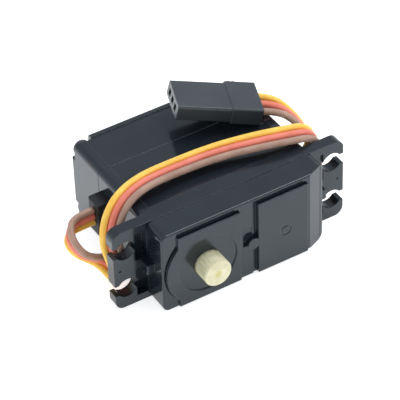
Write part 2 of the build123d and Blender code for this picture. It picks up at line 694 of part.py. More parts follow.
with BuildPart() as motor_core:
    disc(MOTOR_X, MID_Z, CORE_FRONT, CORE_BACK, CORE_HUB)
    for angle in POLE_ANGLES:
        slab(
            CORE_FRONT,
            CORE_BACK,
            lambda: polygon(*around_motor(bar(0, CORE_RADIUS - POLE_THICK / 2, ARM_WIDTH), angle)),
        )
        slab(
            CORE_FRONT,
            CORE_BACK,
            lambda: ring_sector(CORE_RADIUS - POLE_THICK, CORE_RADIUS, angle, POLE_SPAN),
        )
    disc(MOTOR_X, MID_Z, CORE_FRONT, CORE_BACK, MOTOR_SHAFT_RADIUS, Mode.SUBTRACT)
save("motor_core", motor_core)

with BuildPart() as motor_windings:
    for angle in POLE_ANGLES:
        coil = around_motor(bar(COIL_INNER, COIL_OUTER, COIL_WIDTH), angle)
        slab(CORE_FRONT - COIL_OVERHANG, CORE_BACK + COIL_OVERHANG, lambda: polygon(*coil))
    for angle in POLE_ANGLES:
        arm = around_motor(bar(COIL_INNER - 1, COIL_OUTER + 1, ARM_WIDTH), angle)
        slab(CORE_FRONT, CORE_BACK, lambda: polygon(*arm), Mode.SUBTRACT)
save("motor_windings", motor_windings)

with BuildPart() as motor_shaft:
    disc(MOTOR_X, MID_Z, PINION_FRONT, SHAFT_BACK, MOTOR_SHAFT_RADIUS)
save("motor_shaft", motor_shaft)

with BuildPart() as motor_pinion:
    small_gear(MOTOR_X, PINION_FRONT, PINION_BACK, PINION_TEETH, MODULE_1, LEFTWARD)
    disc(MOTOR_X, MID_Z, PINION_FRONT, PINION_BACK, MOTOR_SHAFT_RADIUS, Mode.SUBTRACT)
save("motor_pinion", motor_pinion)

with BuildPart() as commutator:
    disc(MOTOR_X, MID_Z, COMMUTATOR_FRONT, COMMUTATOR_BACK, COMMUTATOR_RADIUS)
    disc(MOTOR_X, MID_Z, COMMUTATOR_FRONT, COMMUTATOR_BACK, MOTOR_SHAFT_RADIUS, Mode.SUBTRACT)
    for angle in POLE_ANGLES:
        slot = around_motor(bar(COMMUTATOR_RADIUS - 0.4, COMMUTATOR_RADIUS + 1, 0.25), angle)
        slab(COMMUTATOR_FRONT, COMMUTATOR_BACK, lambda: polygon(*slot), Mode.SUBTRACT)
save("commutator", commutator)

BRUSH_GAP = 0.06
with BuildPart() as motor_brushes:
    for side in (-1, 1):
        near, far = sorted((side * (COMMUTATOR_RADIUS + BRUSH_GAP), side * (COMMUTATOR_RADIUS + 0.3)))
        block(
            MOTOR_X - 1.0, MOTOR_X + 4.5, MID_Z + near, MID_Z + far, COMMUTATOR_FRONT + 0.3, COMMUTATOR_BACK - 0.3
        )
        block(MOTOR_X + 4.2, MOTOR_X + 4.5, MID_Z + near, MID_Z + far, COMMUTATOR_BACK - 0.3, CAN_BACK)
save("motor_brushes", motor_brushes)

with BuildPart() as motor_terminals:
    for side in (-1, 1):
        x = MOTOR_X + side * MOTOR_TERMINAL_X
        block(x - 0.25, x + 0.25, MID_Z - 1.0, MID_Z + 1.0, CAN_BACK, BOARD_FRONT + BOARD_THICK + 0.5)
save("motor_terminals", motor_terminals)


# ------------------------------------------------------------ position sensor
SENSOR_TAB_HALF = 4.0
SENSOR_TAB_BOTTOM = 1.6
SENSOR_TAB_THICK = 2.4
SENSOR_PITCH = 2.5
TERMINAL_HALF = 0.4
TERMINAL_BOTTOM = 3.0
TERMINAL_TOP = 3.3

with BuildPart() as sensor_body:
    disc(OUTPUT_X, OUTPUT_Z, DECK_BACK, SENSOR_BACK, SENSOR_RADIUS)
    block(
        OUTPUT_X - SENSOR_TAB_HALF,
        OUTPUT_X + SENSOR_TAB_HALF,
        SENSOR_TAB_BOTTOM,
        OUTPUT_Z,
        SENSOR_BACK - SENSOR_TAB_THICK,
        SENSOR_BACK,
    )
    disc(OUTPUT_X, OUTPUT_Z, DECK_BACK, SENSOR_BACK - 1.0, SENSOR_SHAFT_RADIUS + 0.1, Mode.SUBTRACT)
save("sensor_body", sensor_body)

with BuildPart() as sensor_shaft:
    disc(OUTPUT_X, OUTPUT_Z, DECK_BACK, SENSOR_BACK - 1.3, SENSOR_SHAFT_RADIUS)
    slab(
        SOCKET_FRONT + 0.3,
        DECK_BACK,
        lambda: flatted_shaft(OUTPUT_X, OUTPUT_Z, SENSOR_SHAFT_RADIUS, SENSOR_FLAT),
    )
save("sensor_shaft", sensor_shaft)

with BuildPart() as sensor_terminals:
    for index in (-1, 0, 1):
        x = OUTPUT_X + index * SENSOR_PITCH
        block(
            x - TERMINAL_HALF,
            x + TERMINAL_HALF,
            TERMINAL_BOTTOM,
            TERMINAL_TOP,
            SENSOR_BACK,
            BOARD_FRONT + BOARD_THICK + 0.4,
        )
save("sensor_terminals", sensor_terminals)


# -------------------------------------------------------------- control board
BOARD_BACK = BOARD_FRONT + BOARD_THICK
BOARD_NOTCH = 4.0

with BuildPart() as circuit_board:
    block(-BOARD_HALF_X, BOARD_HALF_X, MID_Z - BOARD_HALF_Z, MID_Z + BOARD_HALF_Z, BOARD_FRONT, BOARD_BACK)
    for sx in (-1, 1):
        for sz in (-1, 1):
            x0, x1 = sorted((sx * (BOARD_HALF_X - BOARD_NOTCH), sx * (BOARD_HALF_X + 1)))
            z0, z1 = sorted((MID_Z + sz * (BOARD_HALF_Z - BOARD_NOTCH), MID_Z + sz * (BOARD_HALF_Z + 1)))
            block(x0, x1, z0, z1, BOARD_FRONT, BOARD_BACK, Mode.SUBTRACT)
    for side in (-1, 1):
        x = MOTOR_X + side * MOTOR_TERMINAL_X
        block(x - 0.25, x + 0.25, MID_Z - 1.0, MID_Z + 1.0, BOARD_FRONT, BOARD_BACK, Mode.SUBTRACT)
    for index in (-1, 0, 1):
        x = OUTPUT_X + index * SENSOR_PITCH
        block(
            x - TERMINAL_HALF,
            x + TERMINAL_HALF,
            TERMINAL_BOTTOM,
            TERMINAL_TOP,
            BOARD_FRONT,
            BOARD_BACK,
            Mode.SUBTRACT,
        )
save("circuit_board", circuit_board)


def component(x, z, length, width, height):
    """Block soldered to the motor side of the board, centred at (x, z)."""
    block(x - length / 2, x + length / 2, z - width / 2, z + width / 2, BOARD_FRONT - height, BOARD_FRONT)


CHIP_X = -8.0
CHIP_WIDTH = 4.0
CHIP_LEGS = 8
LEG_PITCH = 0.7
LEG_LENGTH = 0.8

with BuildPart() as control_chip:
    component(CHIP_X, MID_Z, 6.0, CHIP_WIDTH, 1.4)
    for index in range(CHIP_LEGS):
        leg_x = CHIP_X + LEG_PITCH * (index - (CHIP_LEGS - 1) / 2)
        for side in (-1, 1):
            component(leg_x, MID_Z + side * (CHIP_WIDTH + LEG_LENGTH) / 2, 0.3, LEG_LENGTH, 0.5)
save("control_chip", control_chip)

with BuildPart() as driver_transistors:
    for side in (-1, 1):
        component(-1.4, MID_Z + 4.0 * side, 2.4, 1.8, 1.1)
save("driver_transistors", driver_transistors)

with BuildPart() as board_capacitors:
    for x, z in ((-12.8, 6.4), (-12.8, 13.6), (-3.4, 10.0)):
        component(x, z, 0.8, 1.4, 0.9)
save("board_capacitors", board_capacitors)

with BuildPart() as resonator:
    component(-8.1, 15.0, 3.0, 1.6, 1.6)
save("resonator", resonator)


# ------------------------------------------------------------- lead and plug
GROMMET_EXIT = (-22.8, 6.7, 11.2)
PLUG_ENTRY = (17.65, 7.5, 22.1)
WIRE_NAMES = ("wire_brown", "wire_red", "wire_orange")
SIDE_BY_SIDE = 1.6

# Route of the flat lead: its centre, the direction across it from the brown wire to
# the orange one, and the distance between neighbouring wires
ROUTE = [
    ((-22.8, 6.7, 11.2), (0, 0, -1), 1.56),
    ((-26.0, 6.7, 11.2), (0, 0, -1), SIDE_BY_SIDE),
    ((-29.0, 5.7, 11.5), (-0.1, 0.2, -0.97), SIDE_BY_SIDE),
    ((-30.7, 2.8, 10.8), (-0.1, 0.5, -0.85), SIDE_BY_SIDE),
    ((-29.6, 0.5, 8.4), (-0.1, 0.8, -0.55), SIDE_BY_SIDE),
    ((-26.9, 0.6, 6.1), (-0.4, 0.7, -0.4), SIDE_BY_SIDE),
    ((-24.1, 0.7, 4.1), (-0.6, 0.3, -0.75), SIDE_BY_SIDE),
    ((-22.9, -2.5, 2.2), (-0.88, -0.05, -0.4), SIDE_BY_SIDE),
    ((-23.2, -5.8, 3.9), (-0.9, 0.1, -0.2), SIDE_BY_SIDE),
    ((-24.3, -5.6, 8.4), (-0.85, 0.4, -0.15), SIDE_BY_SIDE),
    ((-25.4, -4.9, 13.2), (-0.75, 0.65, -0.1), SIDE_BY_SIDE),
    ((-24.4, -3.9, 17.8), (-0.7, 0.7, 0), SIDE_BY_SIDE),
    ((-21.0, -2.6, 21.5), (-0.5, 0.85, 0.05), SIDE_BY_SIDE),
    ((-15.4, -1.3, 22.6), (-0.2, 1, 0.1), SIDE_BY_SIDE),
    ((-7.5, -0.6, 22.1), (0, 1, 0.1), SIDE_BY_SIDE),
    ((2.0, -1.1, 22.2), (0.05, 1, 0.15), SIDE_BY_SIDE),
    ((10.2, -3.1, 22.5), (0.05, 1, 0.3), SIDE_BY_SIDE),
    ((17.2, -4.8, 22.3), (0.05, 1, 0.3), SIDE_BY_SIDE),
    ((22.0, -5.0, 21.2), (0.05, 1, 0.3), SIDE_BY_SIDE),
    ((24.7, -4.1, 17.4), (0.05, 1, 0.25), SIDE_BY_SIDE),
    ((24.2, -2.4, 12.4), (0.05, 1, 0.2), SIDE_BY_SIDE),
    ((22.9, -0.6, 8.0), (0, 1, 0.2), SIDE_BY_SIDE),
    ((23.2, 0.8, 3.9), (-0.1, 1, 0.2), SIDE_BY_SIDE),
    ((26.3, 1.9, 2.0), (-0.2, 1, 0.1), SIDE_BY_SIDE),
    ((29.3, 2.9, 4.1), (-0.1, 1, 0), SIDE_BY_SIDE),
    ((29.0, 3.8, 8.8), (0.15, 0.97, 0), SIDE_BY_SIDE),
    ((27.0, 4.9, 13.8), (0.3, 0.95, 0), 1.66),
    ((24.0, 5.7, 18.4), (0.34, 0.94, 0), 1.8),
    ((20.94, 6.32, 21.23), (0.338, 0.941, 0), PLUG_PITCH),
    ((17.65, 7.5, 22.1), (0.338, 0.941, 0), PLUG_PITCH),
]


def wire_route(index):
    """Route of one wire; index is -1 for brown, 0 for red and 1 for orange."""
    return [
        Vector(*centre) + Vector(*across).normalized() * (index * spacing)
        for centre, across, spacing in ROUTE
    ]


def bend_radii(points):
    """Radius at each corner: 0.45 of the shorter run over the tangent of half the turn."""
    radii = []
    for before, corner, after in zip(points, points[1:], points[2:]):
        turn = radians((corner - before).get_angle(after - corner))
        shorter = min((corner - before).length, (after - corner).length)
        radii.append(0.45 * shorter / tan(turn / 2))
    return radii


for wire_index, wire_name in zip((-1, 0, 1), WIRE_NAMES):
    route = wire_route(wire_index)
    radii = bend_radii(route)
    print(wire_name, "bend radii", [round(radius, 1) for radius in radii])
    with BuildPart() as wire:
        with BuildLine() as path:
            FilletPolyline(*route, radius=radii)
        with BuildSketch(Plane(origin=path.line @ 0, z_dir=path.line % 0)):
            Circle(WIRE_DIAMETER / 2)
        sweep(path=path.line)
    wire_length = path.wires()[0].length
    section = pi * WIRE_DIAMETER**2 / 4
    print(wire_name, f"length {wire_length:.1f} mm, volume ratio {wire.part.volume / wire_length / section:.4f}")
    save(wire_name, wire)

# Inner ends of the three wires, from the grommet back to the board
LEAD_X = -16.9
GROMMET_WIRE_DEPTH = 22.4
with BuildPart() as board_leads:
    for index in (-1, 0, 1):
        z = GROMMET_EXIT[2] + index * SIDE_BY_SIDE
        with BuildLine() as lead_path:
            FilletPolyline(
                (-HALF + WALL, FRONT_Y + GROMMET_WIRE_DEPTH, z),
                (LEAD_X, FRONT_Y + GROMMET_WIRE_DEPTH, z),
                (LEAD_X, FRONT_Y + BOARD_FRONT, z),
                radius=1.2,
            )
        with BuildSketch(Plane(origin=lead_path.line @ 0, z_dir=lead_path.line % 0)):
            Circle(WIRE_DIAMETER / 2)
        sweep(path=lead_path.line)
save("board_leads", board_leads)

# Rubber block where the lead leaves the case, with a neck that fills the notch in the wall
with BuildPart() as grommet:
    block(-HALF - GROMMET_RISE, -HALF, GROMMET_BOTTOM, GROMMET_TOP, GROMMET_FRONT, GROMMET_BACK)
    fillet(grommet.faces().sort_by(Axis.X)[0].edges(), GROMMET_ROUNDING)
    block(
        -HALF,
        -HALF + WALL,
        GROMMET_BOTTOM + GROMMET_NECK_INSET,
        GROMMET_TOP - GROMMET_NECK_INSET,
        GROMMET_FRONT + GROMMET_NECK_INSET,
        BOTTOM_SPLIT,
    )
save("grommet", grommet)

# Plug frame: X from the mating end to the wires, Y across from brown to orange
PLUG_AXIS = Vector(0.913, -0.328, -0.242)
PLUG_ACROSS = Vector(0.338, 0.941, 0)
STEP_FROM_ENTRY = 6.6
MATING_INSET = 0.45
PLUG_ROUNDING = 0.35
MATING_ROUNDING = 0.55
STEP_ROUNDING = 0.15
CONTACT_OPENING = (1.5, 1.5)
CONTACT_SIZE = (1.1, 1.1)
CONTACT_WALL = 0.25
CONTACT_DEPTH = 8.0

plug_plane = Plane(origin=PLUG_ENTRY, x_dir=PLUG_ACROSS, z_dir=PLUG_AXIS * -1)

with BuildPart() as plug_housing:
    with BuildSketch(plug_plane):
        RectangleRounded(PLUG_WIDTH, PLUG_THICK, PLUG_ROUNDING)
    extrude(amount=STEP_FROM_ENTRY)
    fillet(plug_housing.faces().sort_by(Axis(PLUG_ENTRY, PLUG_AXIS)).first.edges(), STEP_ROUNDING)
    with BuildSketch(plug_plane.offset(STEP_FROM_ENTRY - 1)):
        RectangleRounded(PLUG_WIDTH - MATING_INSET, PLUG_THICK - MATING_INSET, MATING_ROUNDING)
    extrude(amount=PLUG_LENGTH - STEP_FROM_ENTRY + 1)
    fillet(plug_housing.faces().sort_by(Axis(PLUG_ENTRY, PLUG_AXIS)).first.edges(), STEP_ROUNDING)
    with BuildSketch(plug_plane.offset(PLUG_LENGTH)):
        with GridLocations(PLUG_PITCH, 1, 3, 1):
            Rectangle(*CONTACT_OPENING)
    extrude(amount=-CONTACT_DEPTH, mode=Mode.SUBTRACT)
save("plug_housing", plug_housing)

with BuildPart() as plug_contacts:
    with BuildSketch(plug_plane.offset(PLUG_LENGTH - 0.4)):
        with GridLocations(PLUG_PITCH, 1, 3, 1):
            Rectangle(*CONTACT_SIZE)
            Rectangle(CONTACT_SIZE[0] - 2 * CONTACT_WALL, CONTACT_SIZE[1] - 2 * CONTACT_WALL, mode=Mode.SUBTRACT)
    extrude(amount=-(CONTACT_DEPTH - 0.4))
save("plug_contacts", plug_contacts)
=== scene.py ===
import json
from math import radians

import bpy
from mathutils import Matrix, Vector


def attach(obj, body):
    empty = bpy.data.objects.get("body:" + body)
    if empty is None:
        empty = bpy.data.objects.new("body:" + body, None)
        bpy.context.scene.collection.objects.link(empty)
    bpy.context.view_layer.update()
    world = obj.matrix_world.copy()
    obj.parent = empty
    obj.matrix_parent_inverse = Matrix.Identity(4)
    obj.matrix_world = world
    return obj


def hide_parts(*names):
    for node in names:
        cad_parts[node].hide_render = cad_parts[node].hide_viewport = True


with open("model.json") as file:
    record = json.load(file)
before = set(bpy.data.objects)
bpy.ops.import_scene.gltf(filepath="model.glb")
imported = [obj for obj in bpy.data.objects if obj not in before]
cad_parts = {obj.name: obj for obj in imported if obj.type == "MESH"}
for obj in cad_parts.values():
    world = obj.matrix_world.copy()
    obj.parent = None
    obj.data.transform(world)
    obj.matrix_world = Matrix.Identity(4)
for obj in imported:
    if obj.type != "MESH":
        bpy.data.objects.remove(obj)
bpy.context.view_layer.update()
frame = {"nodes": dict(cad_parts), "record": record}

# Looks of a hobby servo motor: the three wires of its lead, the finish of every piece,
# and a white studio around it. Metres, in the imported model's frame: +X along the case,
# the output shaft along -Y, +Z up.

# ---------------------------------------------------------------------- camera
# Fitted to the photograph. The angles are in degrees, the lens and sensor in
# millimetres, and the shift in widths of the picture.
CAMERA_PLACE = (-0.19934, -0.33984, 0.35126)
CAMERA_HEADING = 30.2423
CAMERA_TILT = 40.9549
CAMERA_ROLL = -2.1037
CAMERA_LENS = 226.72
CAMERA_SENSOR = 36.0
CAMERA_SHIFT = (-0.00125, 0.00125)
CAMERA_CLIP = (0.01, 20.0)


def make_camera():
    """Long lens: heading turns from +Y towards +X, and tilt is below the horizon."""
    data = bpy.data.cameras.new("camera")
    data.lens = CAMERA_LENS
    data.sensor_width = CAMERA_SENSOR
    data.shift_x, data.shift_y = CAMERA_SHIFT
    data.clip_start, data.clip_end = CAMERA_CLIP
    camera = bpy.data.objects.new("camera", data)
    bpy.context.collection.objects.link(camera)
    turn = Matrix.Rotation(radians(-CAMERA_HEADING), 4, "Z")
    tilt = Matrix.Rotation(radians(90 - CAMERA_TILT), 4, "X")
    roll = Matrix.Rotation(radians(CAMERA_ROLL), 4, "Z")
    camera.matrix_world = Matrix.Translation(CAMERA_PLACE) @ turn @ tilt @ roll
    bpy.context.scene.camera = camera


make_camera()

# ------------------------------------------------------------------------ lead
WIRE_NAMES = ("wire_brown", "wire_red", "wire_orange")
WIRE_DIAMETER = 0.0015

# Blender's own measures of smoothness: steps between two points, and sides of the round
WIRE_STEPS = 12
WIRE_ROUNDNESS = 8

# Distance between neighbouring wires: at the grommet, along the lead, and where the
# wires spread to the pitch of the plug's contacts
AT_GROMMET = 0.00156
SIDE_BY_SIDE = 0.0016
SPREADING = 0.00166
SPREAD = 0.0018
PLUG_PITCH = 0.00254

# Route of the flat lead, from the grommet to the plug: its centre, the direction
# across it from the brown wire to the orange one, and the distance between the wires
ROUTE = [
    ((-0.0228, 0.0067, 0.0112), (0, 0, -1), AT_GROMMET),
    ((-0.0260, 0.0067, 0.0112), (0, 0, -1), SIDE_BY_SIDE),
    ((-0.0290, 0.0057, 0.0115), (-0.1, 0.2, -0.97), SIDE_BY_SIDE),
    ((-0.0307, 0.0028, 0.0108), (-0.1, 0.5, -0.85), SIDE_BY_SIDE),
    ((-0.0296, 0.0005, 0.0084), (-0.1, 0.8, -0.55), SIDE_BY_SIDE),
    ((-0.0269, 0.0006, 0.0061), (-0.4, 0.7, -0.4), SIDE_BY_SIDE),
    ((-0.0241, 0.0007, 0.0041), (-0.6, 0.3, -0.75), SIDE_BY_SIDE),
    ((-0.0229, -0.0025, 0.0022), (-0.88, -0.05, -0.4), SIDE_BY_SIDE),
    ((-0.0232, -0.0058, 0.0039), (-0.9, 0.1, -0.2), SIDE_BY_SIDE),
    ((-0.0243, -0.0056, 0.0084), (-0.85, 0.4, -0.15), SIDE_BY_SIDE),
    ((-0.0254, -0.0049, 0.0132), (-0.75, 0.65, -0.1), SIDE_BY_SIDE),
    ((-0.0244, -0.0039, 0.0178), (-0.7, 0.7, 0), SIDE_BY_SIDE),
    ((-0.0210, -0.0026, 0.0215), (-0.5, 0.85, 0.05), SIDE_BY_SIDE),
    ((-0.0154, -0.0013, 0.0226), (-0.2, 1, 0.1), SIDE_BY_SIDE),
    ((-0.0075, -0.0006, 0.0221), (0, 1, 0.1), SIDE_BY_SIDE),
    ((0.0020, -0.0011, 0.0222), (0.05, 1, 0.15), SIDE_BY_SIDE),
    ((0.0102, -0.0031, 0.0225), (0.05, 1, 0.3), SIDE_BY_SIDE),
    ((0.0172, -0.0048, 0.0223), (0.05, 1, 0.3), SIDE_BY_SIDE),
    ((0.0220, -0.0050, 0.0212), (0.05, 1, 0.3), SIDE_BY_SIDE),
    ((0.0247, -0.0041, 0.0174), (0.05, 1, 0.25), SIDE_BY_SIDE),
    ((0.0242, -0.0024, 0.0124), (0.05, 1, 0.2), SIDE_BY_SIDE),
    ((0.0229, -0.0006, 0.0080), (0, 1, 0.2), SIDE_BY_SIDE),
    ((0.0232, 0.0008, 0.0039), (-0.1, 1, 0.2), SIDE_BY_SIDE),
    ((0.0263, 0.0019, 0.0020), (-0.2, 1, 0.1), SIDE_BY_SIDE),
    ((0.0293, 0.0029, 0.0041), (-0.1, 1, 0), SIDE_BY_SIDE),
    ((0.0290, 0.0038, 0.0088), (0.15, 0.97, 0), SIDE_BY_SIDE),
    ((0.0270, 0.0049, 0.0138), (0.3, 0.95, 0), SPREADING),
    ((0.0240, 0.0057, 0.0184), (0.34, 0.94, 0), SPREAD),
    ((0.02094, 0.00632, 0.02123), (0.338, 0.941, 0), PLUG_PITCH),
    ((0.01765, 0.00750, 0.02210), (0.338, 0.941, 0), PLUG_PITCH),
]


def wire_route(index):
    """Route of one wire; index is -1 for brown, 0 for red and 1 for orange."""
    return [
        Vector(centre) + Vector(across).normalized() * (index * spacing)
        for centre, across, spacing in ROUTE
    ]


def make_wire(name, index):
    """One round insulated wire on a smooth curve, whose control points are its route.

    Blender adds the points' radius to a curve's box, so the wire's radius is on the
    points, and the bevel that it multiplies is 1.
    """
    curve = bpy.data.curves.new(name, "CURVE")
    curve.dimensions = "3D"
    route = wire_route(index)
    spline = curve.splines.new("NURBS")
    spline.points.add(len(route) - 1)
    for point, place in zip(spline.points, route):
        point.co = (*place, 1)
        point.radius = WIRE_DIAMETER / 2
    spline.order_u = 3
    spline.use_endpoint_u = True
    spline.use_smooth = True
    spline.resolution_u = WIRE_STEPS
    curve.bevel_depth = 1.0
    curve.bevel_resolution = WIRE_ROUNDNESS
    curve.use_fill_caps = True
    wire = bpy.data.objects.new(f"{name}_insulation", curve)
    bpy.context.collection.objects.link(wire)
    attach(wire, "case")
    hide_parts(name)
    return wire


wires = {name: make_wire(name, index) for index, name in enumerate(WIRE_NAMES, start=-1)}

# ------------------------------------------------------------------- materials
# Pale edges, partly wear and partly painted highlight: where the rounded normal leans from
# the true one, the lean times the gain is the share of edge colour, up to the limit of that
# plastic
EDGE_SAMPLES = 4
EDGE_GAIN = 3.0
PLASTIC_EDGE_WEAR_AND_HIGHLIGHT = 0.10
NYLON_EDGE_WEAR_AND_HIGHLIGHT = 0.35

# Gloss of the moulded plastics, a little blue
PLASTIC_IOR = 1.5
GLOSS_TINT = (0.88, 0.95, 1.0, 1)

# Scratches and dust: a hairline's half width and a speck's radius as shares of the cells
# that they are drawn from, their colour, how much of it shows, and the part of the case
# that has them, as its middle and how far it reaches
HAIR_WIDTH = 0.006
SPECK_RADIUS = 0.045
DUST_COLOUR = (0.30, 0.30, 0.30)
MARK_STRENGTH = 0.7
SCUFFED = ((-0.0097, -0.0047, 0.0200), 0.0075)

# The horn screw's hole in the output gear: a point on its axis, the radius inside which
# the plastic has a painted glow, and how strongly; the painted glow stands in for the light
# that seeps through the thin wall
OUTPUT_AXIS = (-0.0093, 0.0, 0.0088)
BORE_GLOW_RADIUS = 0.00093
BORE_GLOW = 0.33


def is_socket(value):
    return isinstance(value, bpy.types.NodeSocket)


class Finish:
    """A node material built up a socket at a time; sizes and depths are in metres."""

    def __init__(self, name):
        self.material = bpy.data.materials.new(name)
        self.material.use_nodes = True
        self.tree = self.material.node_tree
        self.shader = self.tree.nodes["Principled BSDF"]
        self.place = self.node("ShaderNodeTexCoord").outputs["Object"]

    def node(self, kind, **settings):
        made = self.tree.nodes.new(kind)
        for key, value in settings.items():
            setattr(made, key, value)
        return made

    def link(self, source, target):
        self.tree.links.new(source, target)

    def feed(self, value, target):
        """Link a socket to the target, or set a plain value on it."""
        if is_socket(value):
            self.link(value, target)
        else:
            target.default_value = value

    def set(self, **values):
        """Plain values on the shader's own sockets; underscores stand for spaces."""
        for key, value in values.items():
            self.shader.inputs[key.replace("_", " ")].default_value = value

    def noise(self, size, detail, stretch=(1, 1, 1)):
        """Noise with features about size across, drawn out along the axes by stretch."""
        mapping = self.node("ShaderNodeMapping")
        mapping.inputs["Scale"].default_value = tuple(1 / part for part in stretch)
        self.link(self.place, mapping.inputs["Vector"])
        noise = self.node("ShaderNodeTexNoise")
        noise.inputs["Scale"].default_value = 1 / size
        noise.inputs["Detail"].default_value = detail
        self.link(mapping.outputs["Vector"], noise.inputs["Vector"])
        return noise.outputs["Fac"]

    def bent(self, size, reach):
        """The place, pushed about by up to reach with a noise of that size."""
        noise = self.node("ShaderNodeTexNoise")
        noise.inputs["Scale"].default_value = 1 / size
        self.link(self.place, noise.inputs["Vector"])
        push = self.node("ShaderNodeVectorMath", operation="MULTIPLY_ADD")
        push.inputs[1].default_value = (reach, reach, reach)
        self.link(noise.outputs["Color"], push.inputs[0])
        self.link(self.place, push.inputs[2])
        return push.outputs["Vector"]

    def cells(self, size, feature, place):
        """Distance from the feature of cells about size across, as a share of the size."""
        cells = self.node("ShaderNodeTexVoronoi", feature=feature)
        cells.inputs["Scale"].default_value = 1 / size
        self.link(place, cells.inputs["Vector"])
        return cells.outputs["Distance"]

    def ramp(self, source, first, last, span=(0.3, 0.7)):
        """First below the span and last above it; each is a colour or a grey level."""
        ramp = self.node("ShaderNodeValToRGB")
        for element, position, colour in zip(ramp.color_ramp.elements, span, (first, last)):
            element.position = position
            element.color = (*colour, 1) if isinstance(colour, tuple) else (*[colour] * 3, 1)
        self.link(source, ramp.inputs["Fac"])
        return ramp.outputs["Color"]

    def mix(self, factor, first, second):
        """Mix of two colours, each a socket or a plain colour, by a socket or a number."""
        mix = self.node("ShaderNodeMix", data_type="RGBA")
        targets = [s for s in mix.inputs if s.type == "RGBA"]
        for target, value in zip(targets, (first, second)):
            self.feed(value if is_socket(value) else (*value, 1), target)
        self.feed(factor, mix.inputs["Factor"])
        return next(s for s in mix.outputs if s.type == "RGBA")

    def math(self, operation, *values):
        made = self.node("ShaderNodeMath", operation=operation)
        for target, value in zip(made.inputs, values):
            self.feed(value, target)
        return made.outputs["Value"]

    def edges(self, radius):
        """A mask that rises from 0 on flats to sharp edges, and the rounded normal."""
        rounded = self.node("ShaderNodeBevel", samples=EDGE_SAMPLES)
        rounded.inputs["Radius"].default_value = radius
        true = self.node("ShaderNodeNewGeometry").outputs["True Normal"]
        dot = self.node("ShaderNodeVectorMath", operation="DOT_PRODUCT")
        self.link(rounded.outputs["Normal"], dot.inputs[0])
        self.link(true, dot.inputs[1])
        lean = self.math("SUBTRACT", 1.0, dot.outputs["Value"])
        return self.math("MULTIPLY", lean, EDGE_GAIN), rounded.outputs["Normal"]

    def scratches(self):
        """Sparse hairlines: thin borders between large cells, broken up by noise."""
        bent = self.bent(size=0.0012, reach=0.0016)
        border = self.cells(size=0.0042, feature="DISTANCE_TO_EDGE", place=bent)
        hair = self.math("LESS_THAN", border, HAIR_WIDTH)
        broken = self.ramp(self.noise(size=0.0021, detail=1), 0.0, 1.0, span=(0.60, 0.66))
        return self.math("MULTIPLY", hair, broken)

    def specks(self):
        """Specks of dust: one small dot in some of the cells."""
        middle = self.cells(size=0.0022, feature="F1", place=self.place)
        dot = self.math("LESS_THAN", middle, SPECK_RADIUS)
        chosen = self.ramp(self.noise(size=0.004, detail=1), 0.0, 1.0, span=(0.50, 0.58))
        return self.math("MULTIPLY", dot, chosen)

    def near(self, middle, reach):
        """1 within a third of the reach from a point, falling to 0 at the reach."""
        distance = self.node("ShaderNodeVectorMath", operation="DISTANCE")
        self.link(self.place, distance.inputs[0])
        distance.inputs[1].default_value = middle
        fall = self.node("ShaderNodeMapRange")
        fall.inputs["From Min"].default_value = reach
        fall.inputs["From Max"].default_value = reach / 3
        self.link(distance.outputs["Value"], fall.inputs["Value"])
        return fall.outputs["Result"]

    def distance_from_axis(self, axis):
        """Distance from a line along Y through the given point."""
        offset = self.node("ShaderNodeVectorMath", operation="SUBTRACT")
        offset.inputs[1].default_value = axis
        self.link(self.place, offset.inputs[0])
        flat = self.node("ShaderNodeVectorMath", operation="MULTIPLY")
        flat.inputs[1].default_value = (1, 0, 1)
        self.link(offset.outputs["Vector"], flat.inputs[0])
        length = self.node("ShaderNodeVectorMath", operation="LENGTH")
        self.link(flat.outputs["Vector"], length.inputs[0])
        return length.outputs["Value"]

    def bump(self, height, depth, strength, under=None):
        """Relief on the shader's normal, over the normal given as under."""
        bump = self.node("ShaderNodeBump")
        bump.inputs["Distance"].default_value = depth
        bump.inputs["Strength"].default_value = strength
        self.link(height, bump.inputs["Height"])
        if under is not None:
            self.link(under, bump.inputs["Normal"])
        self.link(bump.outputs["Normal"], self.shader.inputs["Normal"])

    def colour(self, source):
        self.link(source, self.shader.inputs["Base Color"])

    def rough(self, source, low, high):
        """Roughness that runs from low to high with the source."""
        spread = self.node("ShaderNodeMapRange")
        spread.inputs["To Min"].default_value = low
        spread.inputs["To Max"].default_value = high
        self.link(source, spread.inputs["Value"])
        self.link(spread.outputs["Result"], self.shader.inputs["Roughness"])


def moulded_plastic(name, dark, light, edge_wear_and_highlight, rough, marks=None):
    """Injection-moulded plastic: cloudy colour, fine grain and paler edges, partly wear and
    partly painted highlight.

    marks is the middle of a scuffed place and how far it reaches.
    """
    finish = Finish(name)
    cloud = finish.ramp(finish.noise(size=0.006, detail=3), dark, light)
    edge, rounded = finish.edges(radius=0.00022)
    # paler edge colour, partly wear and partly a painted highlight along the edges
    surface = finish.mix(finish.math("MINIMUM", edge, PLASTIC_EDGE_WEAR_AND_HIGHLIGHT), cloud, edge_wear_and_highlight)
    if marks:
        faded = finish.math("MULTIPLY", finish.near(*marks), MARK_STRENGTH)
        for mark in (finish.scratches(), finish.specks()):
            surface = finish.mix(finish.math("MULTIPLY", mark, faded), surface, DUST_COLOUR)
    finish.colour(surface)
    finish.rough(finish.noise(size=0.0035, detail=4), *rough)
    grain = finish.noise(size=0.0016, detail=2)
    finish.bump(grain, depth=0.000012, strength=0.5, under=rounded)
    finish.set(IOR=PLASTIC_IOR, Specular_Tint=GLOSS_TINT)
    return finish.material


